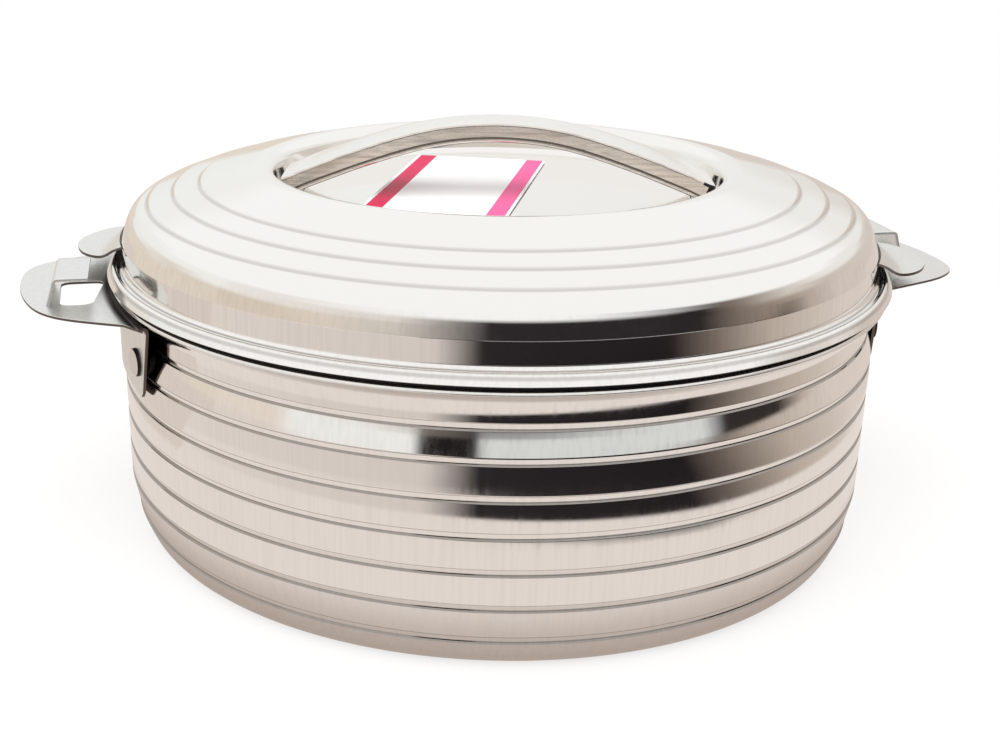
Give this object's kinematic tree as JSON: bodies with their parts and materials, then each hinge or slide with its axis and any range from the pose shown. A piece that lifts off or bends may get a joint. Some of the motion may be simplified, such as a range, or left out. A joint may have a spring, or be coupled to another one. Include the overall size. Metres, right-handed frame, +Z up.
{
  "type": "insulated chapati casserole with twist-lock lid",
  "caption": "Round double-walled stainless steel chapati casserole with a ridged body, stamped side handles and a stepped twist-lock lid with an arched handle",
  "frame": {"origin": "middle of the ring that the casserole stands on, at table height", "axes": "+X along the axis of the two side handles, towards the right one seen from the front; +Y to the back; +Z up, the axis that the lid turns and lifts on"},
  "size_m": [0.3412, 0.2792, 0.145],
  "materials": {
    "polished_steel": "mirror-buffed stainless steel with fine lines round the turned walls",
    "bowl_steel": "satin drawn stainless steel",
    "fastener_steel": "plain steel fasteners",
    "foam": "poured polyurethane foam, hidden inside",
    "seal_rubber": "matt black rubber",
    "plug_plastic": "moulded black plastic",
    "card_paper": "white card with two plain pink stripes"
  },
  "bodies": {
    "base": {"outer_shell": "polished_steel", "inner_bowl": "bowl_steel", "body_insulation": "foam", "fill_plug": "plug_plastic", "handle_left": "polished_steel", "handle_right": "polished_steel", "rivet_left_front": "fastener_steel", "rivet_left_rear": "fastener_steel", "rivet_right_front": "fastener_steel", "rivet_right_rear": "fastener_steel", "rivet_washer_left_front": "fastener_steel", "rivet_washer_left_rear": "fastener_steel", "rivet_washer_right_front": "fastener_steel", "rivet_washer_right_rear": "fastener_steel"},
    "seal": {"rim_seal": "seal_rubber"},
    "lid": {"lid_cover": "polished_steel", "lid_pan": "bowl_steel", "lid_insulation": "foam", "arch_handle": "polished_steel", "foot_block_left": "fastener_steel", "foot_block_right": "fastener_steel", "foot_screw_left": "fastener_steel", "foot_screw_right": "fastener_steel", "foot_washer_left": "fastener_steel", "foot_washer_right": "fastener_steel", "ear_left": "polished_steel", "ear_right": "polished_steel", "recess_card": "card_paper"}
  },
  "joints": [
    {"name": "lid_lift", "type": "slide", "parent": "base", "child": "seal", "axis": [0, 0, 1], "range_m": [0, 0.12]},
    {"name": "lid_twist", "type": "hinge", "parent": "seal", "child": "lid", "pos_m": [0, 0, 0.093], "axis": [0, 0, 1], "range_deg": [0, 13.5]}
  ]
}
